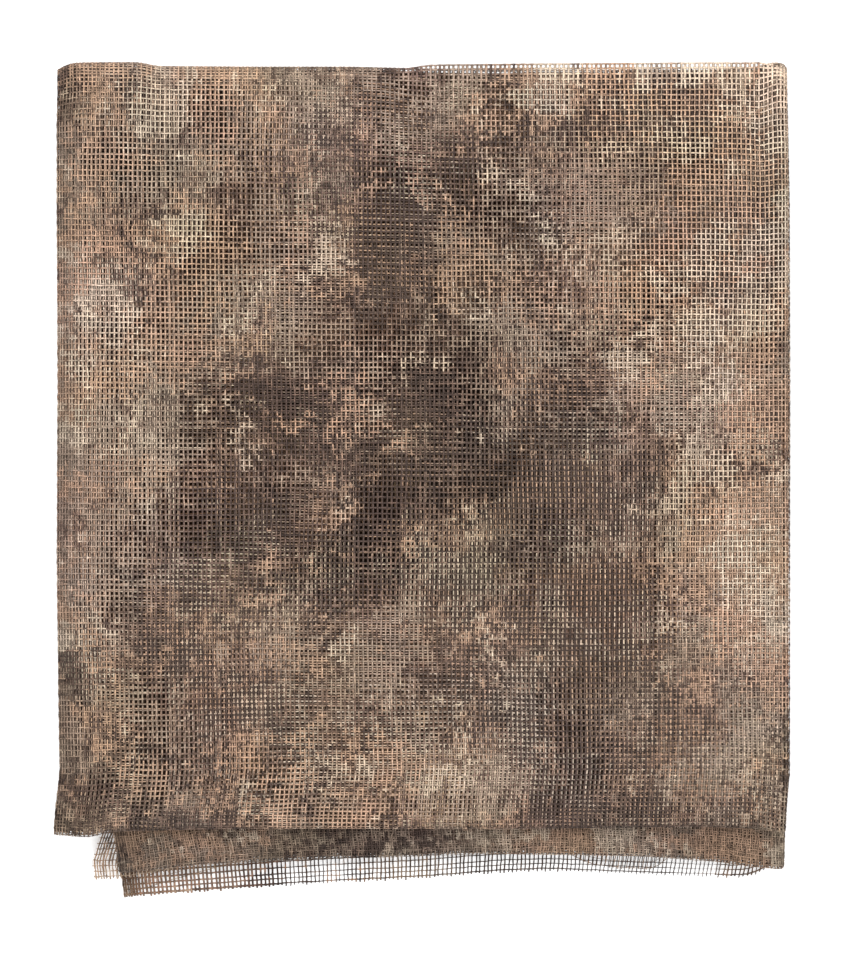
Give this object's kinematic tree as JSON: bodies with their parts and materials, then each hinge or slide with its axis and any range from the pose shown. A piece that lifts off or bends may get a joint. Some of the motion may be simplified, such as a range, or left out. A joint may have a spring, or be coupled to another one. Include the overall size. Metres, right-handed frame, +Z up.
{
  "type": "camouflage net",
  "caption": "Camouflage net of printed open mesh, folded into a flat rectangular pack with its cut end showing along one side.",
  "frame": {"origin": "under the middle of the folded net, on the surface that it lies on", "axes": "+Z up through the layers, +Y along the folded length from the cut end towards the wrapped end, +X across the folded width towards the spine of the width fold"},
  "size_m": [0.3689, 0.4185, 0.0261],
  "materials": {
    "printed_mesh": "matt open-weave polyester mesh, printed in blotches of cream, tan, brown and dark grey-brown"
  },
  "bodies": {
    "root": {"net": "printed_mesh"}
  },
  "joints": []
}
